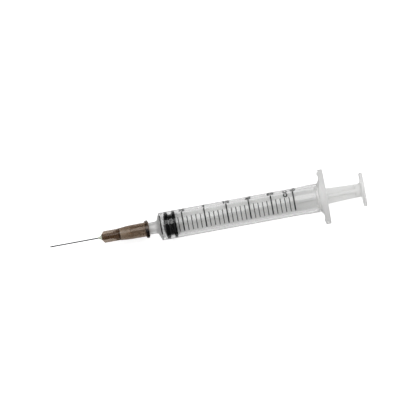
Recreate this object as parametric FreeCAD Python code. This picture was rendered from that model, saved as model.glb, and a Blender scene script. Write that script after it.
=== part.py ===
import FreeCAD, Part
import math
import os

# A 3 mL slip tip syringe with its hypodermic needle, at real size, in millimetres.
# It lies along X: the needle points to -X, the thumb rest to +X, and the finger flange spreads along Y.
# The origin is on the barrel's axis at the zero line of the scale. +Z is up.

# Barrel: a thin tube, moulded in one with its nozzle and finger flange
bore_radius = 4.4
barrel_wall = 0.7
barrel_length = 61.2
bore_front_x = 0.2
bore_cone_length = 0.85
end_wall = 0.5
shoulder_length = 1.0
shoulder_edge = 0.35
nozzle_length = 10.1
nozzle_tip_radius = 1.9625
nozzle_tip_chamfer = 0.2
nozzle_root_chamfer = 0.6
nozzle_root_spread = 0.2
nozzle_bore_radius = 0.95
luer_taper = 0.06
mouth_wall = 0.88
flare_length = 3.0
flare_land = 4.45
mouth_lead_in = 0.35
bead_height = 0.16
bead_length = 0.9
bead_inset = 2.3

# Finger flange: an oval plate with crowned sides, a grip ridge on each wing and a webbed root
flange_thickness = 1.95
flange_half_length = 10.1
flange_half_depth = 6.1
flange_end_radius = 5.0
flange_edge_chamfer = 0.25
ridge_offset = 8.55
ridge_height = 0.32
ridge_radius = 0.95
flange_root_length = 0.95
flange_root_height = 1.7

# Gasket: a rubber piston with two sealing ribs and a socket for the rod's head
dose_shown_ml = 0.1
rib_clearance = 0.03
front_rib_length = 1.26
groove_length = 1.66
rear_rib_length = 1.09
groove_depth = 0.42
rib_crown = 0.1
groove_slope = 0.35
gasket_nose_radius = 1.1

# Plunger rod: a cross of ribs, moulded in one with its snap head, seal disc and thumb rest
socket_clearance = 0.04
head_radius = 2.55
head_nose_radius = 1.3
head_length = 1.5
head_depth = 2.7
stem_radius = 1.9
disc_radius = 4.0
disc_thickness = 0.9
disc_edge_chamfer = 0.2
disc_gap = 0.04
rod_rib_thickness = 1.1
rod_rib_half_width = 3.45
rod_waist_half_width = 2.83
rod_neck_radius = 2.5
rod_neck_length = 2.2
rod_root_round = 1.1
rod_length = 67.55
rod_taper_length = 22.0
rod_waist_length = 8.8
thumb_radius = 6.225
thumb_thickness = 1.3
thumb_edge_chamfer = 0.35
thumb_dish_radius = 4.9
thumb_dish_depth = 0.25

# Needle hub: a translucent moulding whose socket sits on the nozzle's taper
luer_gap = 0.015
hub_standoff = 3.1
hub_length = 17.6
hub_socket_floor = 0.7
hub_rear_radius = 2.63
hub_middle_radius = 2.54
hub_shoulder_radius = 2.22
hub_shoulder_setback = 6.5
hub_floor_setback = 0.3
hub_middle_setback = 9.8
hub_cone_length = 2.55
hub_core_radius = 1.06
hub_roll = -57.0

# Ears that a locking collar would catch, and the four fins at the hub's front
ear_radius = 3.9
ear_width = 3.5
ear_thickness = 1.25
ear_edge_chamfer = 0.35
ear_inset = 0.15
ear_ring_radius = 3.0
fin_count = 4
fin_radius = 2.14
fin_thickness = 0.75
fin_length = 5.0
fin_bevel = 0.8

# Needle tube: thin walled steel with a lancet point, held by a bead of adhesive in the hub's well
needle_radius = 0.225
needle_bore_radius = 0.13
needle_exposed_length = 19.5
needle_fit = 0.01
point_slope = 12.0
point_side_slope = 19.0
point_side_roll = 38.0
point_block_reach = 9.0
glue_well_radius = 0.7
glue_well_depth = 1.6
glue_bead_length = 1.4
glue_tip_wall = 0.08
glue_root_radius = 0.98

ORIGIN = FreeCAD.Vector(0, 0, 0)
X_AXIS = FreeCAD.Vector(1, 0, 0)
Y_AXIS = FreeCAD.Vector(0, 1, 0)
Z_AXIS = FreeCAD.Vector(0, 0, 1)

# Places along X that follow from the sizes above
barrel_radius = bore_radius + barrel_wall
mouth_radius = bore_radius + mouth_wall
mouth_x = bore_front_x + barrel_length
flange_front_x = mouth_x - flange_thickness
shoulder_x = bore_front_x - end_wall
nozzle_root_x = shoulder_x - shoulder_length
nozzle_tip_x = nozzle_root_x - nozzle_length
gasket_front_x = 1000 * dose_shown_ml / (math.pi * bore_radius ** 2)
gasket_rear_x = gasket_front_x + front_rib_length + groove_length + rear_rib_length
disc_front_x = gasket_rear_x + disc_gap
disc_rear_x = disc_front_x + disc_thickness
thumb_front_x = disc_rear_x + rod_length
neck_x = thumb_front_x - rod_neck_length
hub_rear_x = nozzle_root_x - hub_standoff
hub_front_x = hub_rear_x - hub_length
socket_floor_x = hub_front_x + hub_shoulder_setback + hub_floor_setback
needle_rear_x = socket_floor_x - hub_socket_floor
needle_tip_x = hub_front_x - needle_exposed_length


def nozzle_radius_at(x):
    """Radius of the nozzle's taper at x. The diameter grows by the taper for each millimetre."""
    return nozzle_tip_radius + (x - nozzle_tip_x) * luer_taper / 2


def point(x, y):
    """Point in the XY plane."""
    return FreeCAD.Vector(x, y, 0)


def corner_arc(before, corner, after, radius):
    """Start, middle and end of the arc that rounds a corner, kept within half of each side."""
    to_before = before - corner
    to_after = after - corner
    shorter_side = min(to_before.Length, to_after.Length)
    half_angle = to_before.getAngle(to_after) / 2
    reach = min(radius / math.tan(half_angle), 0.48 * shorter_side)
    to_before.normalize()
    to_after.normalize()
    inward = (to_before + to_after).normalize()
    centre = corner + inward * (reach / math.cos(half_angle))
    middle = centre - inward * (reach * math.tan(half_angle))
    return corner + to_before * reach, middle, corner + to_after * reach


def outline(corners):
    """Closed wire in the XY plane through (x, y) corners. A third number rounds its corner."""
    points = [point(corner[0], corner[1]) for corner in corners]
    stops = []
    for index, corner in enumerate(corners):
        if len(corner) == 2:
            stops.append([points[index]])
            continue
        after = points[(index + 1) % len(points)]
        stops.append(corner_arc(points[index - 1], points[index], after, corner[2]))
    edges = []
    for here, there in zip(stops, stops[1:] + stops[:1]):
        if len(here) == 3:
            edges.append(Part.Arc(here[0], here[1], here[2]).toShape())
        edges.append(Part.LineSegment(here[-1], there[0]).toShape())
    return Part.Wire(edges)


def turned(corners):
    """Solid turned about the X axis from an outline of (x, radius) corners."""
    return Part.Face(outline(corners)).revolve(ORIGIN, X_AXIS, 360)


def rolled(shape, degrees):
    """The shape turned about the X axis."""
    shape = shape.copy()
    shape.rotate(ORIGIN, X_AXIS, degrees)
    return shape


def fused(shapes):
    """One clean solid from shapes that overlap."""
    return shapes[0].multiFuse(shapes[1:]).removeSplitter()


def flange_outline(x, margin):
    """Oval wire across X: long crowned sides, tangent to a smaller arc at each end of Y."""
    half_length = flange_half_length - margin
    half_depth = flange_half_depth - margin
    end_radius = flange_end_radius - margin
    end_centre = half_length - end_radius
    side_radius = (end_centre ** 2 + half_depth ** 2 - end_radius ** 2) / (2 * (half_depth - end_radius))
    side_centre = half_depth - side_radius
    reach = side_radius / (side_radius - end_radius)
    join_y = end_centre * reach
    join_z = side_centre - side_centre * reach
    edges = []
    for sign in (1, -1):
        start = FreeCAD.Vector(x, sign * join_y, -sign * join_z)
        end = FreeCAD.Vector(x, sign * join_y, sign * join_z)
        across = FreeCAD.Vector(x, -sign * join_y, sign * join_z)
        tip = FreeCAD.Vector(x, sign * half_length, 0)
        crown = FreeCAD.Vector(x, 0, sign * half_depth)
        edges.append(Part.Arc(start, tip, end).toShape())
        edges.append(Part.Arc(end, crown, across).toShape())
    return Part.Wire(edges)


def flange_block(front_x, rear_x, margin):
    """The oval outline, drawn in by a margin and carried along X from one place to another."""
    face = Part.Face(flange_outline(front_x, margin))
    return face.extrude(FreeCAD.Vector(rear_x - front_x, 0, 0))


def finger_flange():
    """Plate with chamfered edges, a grip ridge on the front of each wing, and the webbed root."""
    plate = flange_block(flange_front_x, mouth_x, 0)
    rim = [edge for edge in plate.Edges if edge.BoundBox.XLength < flange_thickness / 2]
    plate = plate.makeChamfer(flange_edge_chamfer, rim)
    middle_x = flange_front_x + flange_thickness / 2
    root = turned([
        (flange_front_x - flange_root_length, 0),
        (flange_front_x - flange_root_length, mouth_radius),
        (flange_front_x, mouth_radius + flange_root_height),
        (middle_x, mouth_radius + flange_root_height),
        (middle_x, 0),
    ])
    raised = [root]
    ridge_x = flange_front_x + ridge_radius - ridge_height
    for side in (1, -1):
        foot = FreeCAD.Vector(ridge_x, side * ridge_offset, -flange_half_depth)
        raised.append(Part.makeCylinder(ridge_radius, 2 * flange_half_depth, foot, Z_AXIS))
    limits = flange_block(flange_front_x - flange_root_length, middle_x, flange_edge_chamfer)
    return [plate] + [shape.common(limits) for shape in raised]


def barrel():
    """Tube, shoulder, tapered nozzle and flared mouth, turned about the axis, with the flange."""
    outside = turned([
        (nozzle_tip_x, 0),
        (nozzle_tip_x, nozzle_tip_radius - nozzle_tip_chamfer),
        (nozzle_tip_x + nozzle_tip_chamfer, nozzle_radius_at(nozzle_tip_x + nozzle_tip_chamfer)),
        (nozzle_root_x - nozzle_root_chamfer, nozzle_radius_at(nozzle_root_x - nozzle_root_chamfer)),
        (nozzle_root_x, nozzle_radius_at(nozzle_root_x) + nozzle_root_spread),
        (shoulder_x - shoulder_edge / 2, barrel_radius - shoulder_edge),
        (shoulder_x + shoulder_edge / 2, barrel_radius),
        (flange_front_x - flare_land - flare_length, barrel_radius),
        (flange_front_x - flare_land, mouth_radius),
        (mouth_x, mouth_radius),
        (mouth_x, 0),
    ])
    bead_x = mouth_x - bead_inset
    beyond = bore_radius
    inside = turned([
        (nozzle_tip_x - beyond, 0),
        (nozzle_tip_x - beyond, nozzle_bore_radius),
        (bore_front_x - bore_cone_length, nozzle_bore_radius),
        (bore_front_x, bore_radius),
        (bead_x - bead_length / 2, bore_radius),
        (bead_x, bore_radius - bead_height),
        (bead_x + bead_length / 2, bore_radius),
        (mouth_x - mouth_lead_in, bore_radius),
        (mouth_x, bore_radius + mouth_lead_in),
        (mouth_x + beyond, bore_radius + mouth_lead_in),
        (mouth_x + beyond, 0),
    ])
    return fused([outside] + finger_flange()).cut(inside)


def snap_head(clearance):
    """Rod's snap head and stem, or with a clearance, the socket that they fill in the gasket."""
    front_x = gasket_rear_x - head_depth - clearance
    rear_x = gasket_rear_x - head_depth + head_length + clearance
    overlap = disc_gap + disc_thickness / 2
    return turned([
        (front_x, 0),
        (front_x, head_nose_radius + clearance),
        (front_x + head_length / 2, head_radius + clearance),
        (rear_x, head_radius + clearance),
        (rear_x, stem_radius + clearance),
        (gasket_rear_x + overlap, stem_radius + clearance),
        (gasket_rear_x + overlap, 0),
    ])


def crowned_rib(front_x, rear_x):
    """Disc with a crowned rim, one of the gasket's two sealing ribs."""
    rib_radius = bore_radius - rib_clearance
    edge_radius = rib_radius - rib_crown
    side = [
        Part.LineSegment(point(front_x, 0), point(front_x, edge_radius)).toShape(),
        Part.Arc(
            point(front_x, edge_radius),
            point((front_x + rear_x) / 2, rib_radius),
            point(rear_x, edge_radius),
        ).toShape(),
        Part.LineSegment(point(rear_x, edge_radius), point(rear_x, 0)).toShape(),
        Part.LineSegment(point(rear_x, 0), point(front_x, 0)).toShape(),
    ]
    return Part.Face(Part.Wire(side)).revolve(ORIGIN, X_AXIS, 360)


def gasket():
    """Rubber piston: a nose that fills the bore's cone, two crowned ribs, and a groove with sloping sides."""
    edge_radius = bore_radius - rib_clearance - rib_crown
    groove_radius = edge_radius - groove_depth
    cone_slope = bore_cone_length / (bore_radius - nozzle_bore_radius)
    nose_length = (edge_radius - gasket_nose_radius) * cone_slope
    groove_front_x = gasket_front_x + front_rib_length
    groove_rear_x = groove_front_x + groove_length
    core = turned([
        (gasket_front_x - nose_length, 0),
        (gasket_front_x - nose_length, gasket_nose_radius),
        (gasket_front_x, edge_radius),
        (groove_front_x, edge_radius),
        (groove_front_x + groove_slope, groove_radius),
        (groove_rear_x - groove_slope, groove_radius),
        (groove_rear_x, edge_radius),
        (gasket_rear_x, edge_radius),
        (gasket_rear_x, 0),
    ])
    ribs = [crowned_rib(gasket_front_x, groove_front_x), crowned_rib(groove_rear_x, gasket_rear_x)]
    return fused([core] + ribs).cut(snap_head(socket_clearance))


def rod_rib():
    """One web of the rod's cross: straight inside the barrel, then a long hollow taper to the neck."""
    start_x = disc_front_x + disc_thickness / 2
    end_x = thumb_front_x - rod_neck_length / 2
    taper_x = neck_x - rod_taper_length
    waist_x = neck_x - rod_waist_length
    edges = []
    corners = []
    for side in (1, -1):
        start = FreeCAD.Vector(start_x, side * rod_rib_half_width, 0)
        taper = FreeCAD.Vector(taper_x, side * rod_rib_half_width, 0)
        waist = FreeCAD.Vector(waist_x, side * rod_waist_half_width, 0)
        neck = FreeCAD.Vector(neck_x, side * rod_neck_radius, 0)
        end = FreeCAD.Vector(end_x, side * rod_neck_radius, 0)
        edges.append(Part.LineSegment(start, taper).toShape())
        edges.append(Part.Arc(taper, waist, neck).toShape())
        edges.append(Part.LineSegment(neck, end).toShape())
        corners.append((start, end))
    edges.append(Part.LineSegment(corners[0][0], corners[1][0]).toShape())
    edges.append(Part.LineSegment(corners[0][1], corners[1][1]).toShape())
    web = Part.Face(Part.Wire(Part.__sortEdges__(edges))).extrude(Z_AXIS * rod_rib_thickness)
    web.translate(Z_AXIS * (-rod_rib_thickness / 2))
    return web


def plunger_rod():
    """Snap head, seal disc, a cross of two webs, and the round neck that spreads into the thumb rest."""
    disc = turned([
        (disc_front_x, 0),
        (disc_front_x, disc_radius - disc_edge_chamfer),
        (disc_front_x + disc_edge_chamfer, disc_radius),
        (disc_rear_x - disc_edge_chamfer, disc_radius),
        (disc_rear_x, disc_radius - disc_edge_chamfer),
        (disc_rear_x, 0),
    ])
    thumb_rear_x = thumb_front_x + thumb_thickness
    thumb_rest = turned([
        (neck_x, 0),
        (neck_x, rod_neck_radius),
        (thumb_front_x, rod_neck_radius, rod_root_round),
        (thumb_front_x, thumb_radius - thumb_edge_chamfer),
        (thumb_front_x + thumb_edge_chamfer, thumb_radius),
        (thumb_rear_x - thumb_edge_chamfer, thumb_radius),
        (thumb_rear_x, thumb_radius - thumb_edge_chamfer),
        (thumb_rear_x, thumb_dish_radius + thumb_dish_depth),
        (thumb_rear_x - thumb_dish_depth, thumb_dish_radius),
        (thumb_rear_x - thumb_dish_depth, 0),
    ])
    web = rod_rib()
    return fused([snap_head(0), disc, web, rolled(web, 90), thumb_rest])


def hub_ears():
    """Round rim with two opposite ears, cut from one turned disc by a bar as wide as an ear."""
    rear_x = hub_rear_x - ear_inset
    front_x = rear_x - ear_thickness
    disc = turned([
        (front_x, 0),
        (front_x, ear_radius - ear_edge_chamfer),
        (front_x + ear_edge_chamfer, ear_radius),
        (rear_x - ear_edge_chamfer, ear_radius),
        (rear_x, ear_radius - ear_edge_chamfer),
        (rear_x, 0),
    ])
    bar_corner = FreeCAD.Vector(front_x, -ear_radius, -ear_width / 2)
    bar = Part.makeBox(ear_thickness, 2 * ear_radius, ear_width, bar_corner)
    rim = turned([
        (front_x, 0),
        (front_x, ear_ring_radius),
        (rear_x, ear_ring_radius),
        (rear_x, 0),
    ])
    return [disc.common(bar), rim]


def hub_fin():
    """One flat fin along the hub's core, with its front corner bevelled down to the core."""
    wire = outline([
        (hub_front_x, 0),
        (hub_front_x, hub_core_radius),
        (hub_front_x + fin_bevel, fin_radius, fin_bevel / 2),
        (hub_front_x + fin_length, fin_radius),
        (hub_front_x + fin_length, 0),
    ])
    fin = Part.Face(wire).extrude(Z_AXIS * fin_thickness)
    fin.translate(Z_AXIS * (-fin_thickness / 2))
    return fin


def needle_hub():
    """Finned core, shoulder cone and a body with two tapers, hollowed by the socket and the glue well."""
    shoulder_x = hub_front_x + hub_shoulder_setback
    middle_x = hub_front_x + hub_middle_setback
    body = turned([
        (hub_front_x, 0),
        (hub_front_x, hub_core_radius),
        (shoulder_x - hub_cone_length, hub_core_radius),
        (shoulder_x, hub_shoulder_radius),
        (middle_x, hub_middle_radius),
        (hub_rear_x, hub_rear_radius),
        (hub_rear_x, 0),
    ])
    fins = [rolled(hub_fin(), 45 + 360 * index / fin_count) for index in range(fin_count)]
    beyond = hub_socket_floor
    socket = turned([
        (hub_rear_x + beyond, 0),
        (hub_rear_x + beyond, nozzle_radius_at(hub_rear_x + beyond) + luer_gap),
        (socket_floor_x, nozzle_radius_at(socket_floor_x) + luer_gap),
        (needle_rear_x, needle_radius + needle_fit),
        (hub_front_x + glue_well_depth, needle_radius + needle_fit),
        (hub_front_x + glue_well_depth, glue_well_radius),
        (hub_front_x - beyond, glue_well_radius),
        (hub_front_x - beyond, 0),
    ])
    hub = fused([body] + fins + hub_ears()).cut(socket)
    return rolled(hub, hub_roll)


def glue_bead():
    """Adhesive that fills the well round the needle and rises into a small cone at the hub's front."""
    well_rear_x = hub_front_x + glue_well_depth
    return turned([
        (well_rear_x, needle_radius),
        (well_rear_x, glue_well_radius),
        (hub_front_x, glue_well_radius),
        (hub_front_x, glue_root_radius),
        (hub_front_x - glue_bead_length, needle_radius + glue_tip_wall),
        (hub_front_x - glue_bead_length, needle_radius),
    ])


def bevel_block(slope, roll):
    """Block whose underside slopes up from the needle's point, rolled about the needle's lowest line."""
    heel = FreeCAD.Vector(needle_tip_x, 0, -needle_radius)
    corner = heel - FreeCAD.Vector(point_block_reach, point_block_reach, 0)
    block = Part.makeBox(2 * point_block_reach, 2 * point_block_reach, point_block_reach, corner)
    block.rotate(heel, Y_AXIS, -slope)
    block.rotate(heel, X_AXIS, roll)
    return block


def needle_tube():
    """Steel tube ground to a lancet point: one long bevel, then two short ones rolled to each side."""
    tube = turned([
        (needle_tip_x, needle_bore_radius),
        (needle_tip_x, needle_radius),
        (needle_rear_x, needle_radius),
        (needle_rear_x, needle_bore_radius),
    ])
    for slope, roll in (
        (point_slope, 0),
        (point_side_slope, point_side_roll),
        (point_side_slope, -point_side_roll),
    ):
        tube = tube.cut(bevel_block(slope, roll))
    return tube


def save(name, shape):
    """Writes one piece as a STEP file and prints what it is."""
    shape.exportStep("parts/" + name + ".step")
    box = shape.optimalBoundingBox()
    print(
        f"{name}: {len(shape.Solids)} solid, valid {shape.isValid()}, {shape.Volume:.2f} mm3, "
        f"x {box.XMin:.2f} to {box.XMax:.2f}, y {box.YMin:.2f} to {box.YMax:.2f}, "
        f"z {box.ZMin:.2f} to {box.ZMax:.2f}"
    )


os.makedirs("parts", exist_ok=True)
save("barrel", barrel())
save("gasket", gasket())
save("plunger_rod", plunger_rod())
save("needle_hub", needle_hub())
save("glue_bead", glue_bead())
save("needle_tube", needle_tube())
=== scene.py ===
import math
import types

import bpy
import numpy as np
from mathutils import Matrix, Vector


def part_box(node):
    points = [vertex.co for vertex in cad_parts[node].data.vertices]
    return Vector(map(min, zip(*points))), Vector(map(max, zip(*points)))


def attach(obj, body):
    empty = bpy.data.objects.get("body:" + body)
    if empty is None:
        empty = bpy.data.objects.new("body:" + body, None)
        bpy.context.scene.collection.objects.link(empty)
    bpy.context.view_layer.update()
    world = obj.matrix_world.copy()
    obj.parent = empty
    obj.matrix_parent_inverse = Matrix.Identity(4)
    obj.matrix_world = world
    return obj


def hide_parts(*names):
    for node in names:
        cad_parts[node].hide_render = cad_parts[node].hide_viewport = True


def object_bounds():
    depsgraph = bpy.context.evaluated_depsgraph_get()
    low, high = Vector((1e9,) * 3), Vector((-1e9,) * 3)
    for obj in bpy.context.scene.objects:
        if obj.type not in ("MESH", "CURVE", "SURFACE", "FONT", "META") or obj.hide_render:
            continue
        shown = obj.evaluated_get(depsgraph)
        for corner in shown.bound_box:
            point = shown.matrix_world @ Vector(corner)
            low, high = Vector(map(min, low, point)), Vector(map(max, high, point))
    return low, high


bl_info = {
    "name": "Slip Tip Syringe",
    "version": (1, 0, 0),
    "blender": (4, 5, 0),
    "location": "View3D > Sidebar > Syringe",
    "description": "Moulded pieces, printed scale, needle and studio of a small syringe",
    "category": "Mesh",
}

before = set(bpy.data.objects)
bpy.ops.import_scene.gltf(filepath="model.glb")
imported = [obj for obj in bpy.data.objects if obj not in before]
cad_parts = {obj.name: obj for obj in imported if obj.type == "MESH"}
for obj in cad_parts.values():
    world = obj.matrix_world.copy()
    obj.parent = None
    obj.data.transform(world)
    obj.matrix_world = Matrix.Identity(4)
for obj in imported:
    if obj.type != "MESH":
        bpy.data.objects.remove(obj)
CAD_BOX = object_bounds()

MM = 0.001
PLASTIC_IOR = 1.49
PREFIX = "syringe_"
WHITE = (1, 1, 1, 1)
TURN = 2 * math.pi


def node_span(node):
    """Lowest and highest corner of a CAD node, in millimetres."""
    low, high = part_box(node)
    return np.array(low) / MM, np.array(high) / MM


BARREL_LOW, BARREL_HIGH = node_span("barrel")
GASKET_LOW, GASKET_HIGH = node_span("gasket")
ROD_LOW, ROD_HIGH = node_span("plunger_rod")
HUB_LOW, HUB_HIGH = node_span("needle_hub")
GLUE_LOW, GLUE_HIGH = node_span("glue_bead")
NEEDLE_LOW, NEEDLE_HIGH = node_span("needle_tube")


def ratio(name, value, description, **options):
    """Property for a plain number. The options say how it is shown."""
    return bpy.props.FloatProperty(name=name, default=value, description=description, **options)


def size(name, millimetres, description):
    """Property for a length, given in millimetres and kept in metres."""
    return ratio(name, millimetres * MM, description, unit="LENGTH", subtype="DISTANCE", precision=5)


def point(name, millimetres, description):
    """Property for a point, given in millimetres and kept in metres."""
    return bpy.props.FloatVectorProperty(
        name=name, default=[value * MM for value in millimetres], description=description,
        unit="LENGTH", subtype="TRANSLATION", precision=5,
    )


def angle(name, degrees, description):
    """Property for an angle, given in degrees and kept in radians."""
    return ratio(name, math.radians(degrees), description, unit="ROTATION", subtype="ANGLE")


def linear(hex_value):
    """Linear colour with full alpha from an sRGB hex value such as d0d2d4."""
    channels = np.array([int(hex_value[i:i + 2], 16) for i in (0, 2, 4)]) / 255
    low = channels / 12.92
    high = ((channels + 0.055) / 1.055) ** 2.4
    return (*np.where(channels <= 0.04045, low, high).tolist(), 1.0)


def colour(name, hex_value, description):
    """Property for a colour, given as an sRGB hex value and kept as linear."""
    return bpy.props.FloatVectorProperty(
        name=name, default=linear(hex_value), description=description, subtype="COLOR", size=4, min=0, max=1,
    )


def values(key):
    """Settings of one group, as plain names: lengths in millimetres, places in metres."""
    group = getattr(bpy.context.scene, PREFIX + key)
    found = {}
    for name, prop in group.bl_rna.properties.items():
        if name in ("rna_type", "name"):
            continue
        value = getattr(group, name)
        if prop.type == "FLOAT" and prop.is_array:
            value = tuple(value)
        elif prop.type == "FLOAT" and prop.unit == "LENGTH":
            value = round(value / MM, 5)
        found[name] = value
    return types.SimpleNamespace(**found)


class BarrelSettings(bpy.types.PropertyGroup):
    """The barrel's sizes that its box doesn't give."""
    bore: size("Bore radius", 4.4, "Inside of the tube")
    wall: size("Wall", 0.7, "Of the tube")
    mouth_wall: size("Mouth wall", 0.88, "From the flare to the flange")
    bore_front: size("Bore front", 0.2, "Where it starts, from the zero line")
    bore_cone: size("Bore cone", 0.85, "Cone that closes the bore")
    end_wall: size("End wall", 0.5, "From the bore's corner to the shoulder's")
    shoulder: size("Shoulder", 1.0, "Length of the outer cone")
    nozzle: size("Nozzle radius", 1.9625, "At its tip")
    nozzle_bore: size("Nozzle bore", 0.95, "Radius of its hole")
    taper: ratio("Taper", 0.06, "Growth of the nozzle's diameter for its length")
    flange: size("Flange thickness", 1.95, "Finger flange")
    flange_end: size("Flange end radius", 5.0, "The two ends of its oval")
    flange_edge: size("Flange edge", 0.25, "Rounding of its edges")
    flare: size("Flare length", 3.0, "Where the wall thickens")
    flare_land: size("Flare land", 4.45, "From the end of the flare to the flange")
    ridge_offset: size("Ridge offset", 8.55, "From the axis to a grip ridge")
    ridge_height: size("Ridge height", 0.32, "Grip ridge")
    ridge_radius: size("Ridge radius", 0.95, "Back of a grip ridge")
    neck_chamfer: size("Neck chamfer", 0.6, "Slope of the nozzle at the shoulder")
    neck_spread: size("Neck spread", 0.2, "Growth of the radius over that slope")
    root_length: size("Root length", 0.95, "Hollow root of the flange")
    root_height: size("Root height", 1.7, "Hollow root of the flange")
    bead_inset: size("Bead inset", 2.3, "From the mouth to the retaining bead")
    bead_length: size("Bead length", 0.9, "Retaining bead")
    bead_height: size("Bead height", 0.16, "Retaining bead")
    lead_in: size("Lead in", 0.35, "Slope at the mouth")
    plastic: colour("Plastic", "ffffff", "Clear polypropylene")
    # The haze colour is also mixed in at a slant, where it is partly painted shade greying the tube's rims.
    haze: colour("Haze", "e0e0df", "Milky plastic of the nozzle and flange")
    depth: colour("Depth", "9e9e9f", "Grey that the light takes on in the wall")
    density: ratio("Density", 60.0, "How fast it takes the grey on, for each metre")


class PrintSettings(bpy.types.PropertyGroup):
    """Sizes of the printed scale. Its angles go round the barrel from its top line, and rise to +Y."""
    step: size("Step", 1.6441, "Length of a tenth of a millilitre")
    steps: bpy.props.IntProperty(name="Steps", default=30, description="Tenths on the scale")
    major_width: size("Major width", 0.5, "Half millilitre line")
    minor_width: size("Minor width", 0.31, "Tenth of a millilitre line")
    major_top: angle("Major top", 52.0, "Where a half millilitre line ends")
    minor_top: angle("Minor top", 25.6, "Where a tenth line ends")
    foot: angle("Foot", -36.5, "Where the lines start")
    film_gap: size("Film gap", 0.004, "From the barrel to the ink")
    film: size("Film", 0.016, "Thickness of the ink")
    numeral_foot: angle("Numeral foot", 56.0, "Where the numerals stand")
    numeral_height: size("Numeral height", 2.2, "Of all of them")
    numeral_width: size("Numeral width", 2.1, "Of one digit")
    stroke: size("Stroke", 0.52, "Numerals' strokes")
    thin_stroke: size("Thin stroke", 0.36, "Strokes of a half")
    lone_half: ratio("Lone half", 1.4, "Size of a half that stands alone, against one behind a numeral")
    unit_place: size("Unit place", 46.5, "Middle of its letters, from the zero line")
    unit_foot: angle("Unit foot", 27.7, "Where its letters start")
    unit_letter: size("Unit letter", 1.64, "Height of a letter, along the barrel")
    unit_width: size("Unit width", 1.85, "Width of a letter, round the barrel")
    unit_stroke: size("Unit stroke", 0.42, "Its letters' strokes")
    ink: colour("Ink", "1d1c1e", "Black pad printing ink")


class GasketSettings(bpy.types.PropertyGroup):
    """The gasket's sizes that its box doesn't give."""
    front_rib: size("Front rib", 1.26, "Its length")
    rear_rib: size("Rear rib", 1.09, "Its length")
    groove: size("Groove", 1.66, "Length between the ribs")
    groove_depth: size("Groove depth", 0.42, "Between the ribs")
    groove_slope: size("Groove slope", 0.35, "Each of its sloping sides")
    crown: size("Crown", 0.1, "Of each rib, before it is squeezed")
    squeeze: size("Squeeze", 0.004, "How far the ribs press into the bore")
    nose: size("Nose radius", 1.1, "Flat front")
    clearance: size("Clearance", 0.04, "Gap round the rod's snap head")
    rubber: colour("Rubber", "050505", "Black butyl rubber")


class RodSettings(bpy.types.PropertyGroup):
    """The plunger rod's sizes that its box doesn't give."""
    nose: size("Nose radius", 1.3, "Flat front of the snap head")
    head: size("Head radius", 2.55, "Snap head")
    head_length: size("Head length", 1.5, "Snap head")
    stem: size("Stem radius", 1.9, "Between the snap head and the disc")
    disc_gap: size("Disc gap", 0.04, "From the gasket to the disc")
    disc: size("Disc radius", 4.0, "Seal disc")
    disc_thickness: size("Disc thickness", 0.9, "Seal disc")
    web: size("Web", 1.1, "Thickness of each web of the cross")
    web_edge: size("Web edge", 0.16, "Rounding of the webs' edges")
    web_root: size("Web root", 0.3, "Rounding where the webs meet each other and the disc")
    half_width: size("Half width", 3.45, "Of the cross inside the barrel")
    waist: size("Waist", 2.83, "Half width in the taper's middle")
    neck: size("Neck radius", 2.5, "Before the thumb rest")
    neck_length: size("Neck length", 2.2, "Before the thumb rest")
    taper_length: size("Taper length", 22.0, "Length of the webs' taper")
    waist_length: size("Waist length", 8.8, "From the waist to the neck")
    root_round: size("Root round", 1.1, "From the neck to the thumb rest")
    thumb: size("Thumb thickness", 1.3, "Thumb rest")
    thumb_round: size("Thumb round", 0.4, "Its rounded edge")
    dish: size("Dish radius", 4.9, "In the thumb rest")
    dish_depth: size("Dish depth", 0.25, "In the thumb rest")
    plastic: colour("Plastic", "ebebea", "Milky polypropylene")


class HubSettings(bpy.types.PropertyGroup):
    """The needle hub's sizes that its box doesn't give."""
    core: size("Core radius", 1.06, "Core between the fins")
    cone: size("Cone length", 2.55, "Cone between the core and the body")
    shoulder_setback: size("Shoulder setback", 6.5, "From the front to the end of the cone")
    shoulder: size("Shoulder radius", 2.22, "Body just behind the cone")
    middle_setback: size("Middle setback", 9.8, "From the front to the change of taper")
    middle: size("Middle radius", 2.54, "Body at the change of taper")
    rear: size("Rear radius", 2.63, "Body at its back face")
    floor_setback: size("Floor setback", 0.3, "From the shoulder to the socket's floor")
    floor_cone: size("Floor cone", 0.7, "Cone at the socket's floor")
    luer_gap: size("Taper gap", 0.015, "From the socket to the nozzle")
    well: size("Well radius", 0.7, "It holds the adhesive")
    well_depth: size("Well depth", 1.6, "It holds the adhesive")
    roll: angle("Roll", -57.0, "Turn of the hub about the needle")
    ear: size("Ear radius", 3.9, "From the axis to an ear's edge")
    ear_width: size("Ear width", 3.5, "Across it")
    ear_thickness: size("Ear thickness", 1.25, "Along the hub")
    ear_edge: size("Ear edge", 0.35, "Rounding of its edges")
    ear_inset: size("Ear inset", 0.15, "From the back face to the ears")
    ring: size("Ring radius", 3.0, "Rim between the ears")
    fin: size("Fin radius", 2.14, "From the axis to a fin's edge")
    fin_thickness: size("Fin thickness", 0.75, "Across it")
    fin_length: size("Fin length", 6.3, "From the hub's front")
    fin_bevel: size("Fin bevel", 0.8, "At its front")
    plastic: colour("Plastic", "fffdfa", "Brown polypropylene, at its skin")
    thick: colour("Thick", "54463a", "Brown polypropylene, in the thick ears")
    # The edge pigment's share rises at a slant, and that rise is painted shade darkening the hub's rims.
    edge: colour("Edge", "7d6047", "Pigment that scatters light, most of all at a slant")
    depth: colour("Depth", "ac8947", "Brown that the light takes on in the body")
    density: ratio("Density", 1400.0, "How fast it takes the brown on, for each metre")


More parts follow.
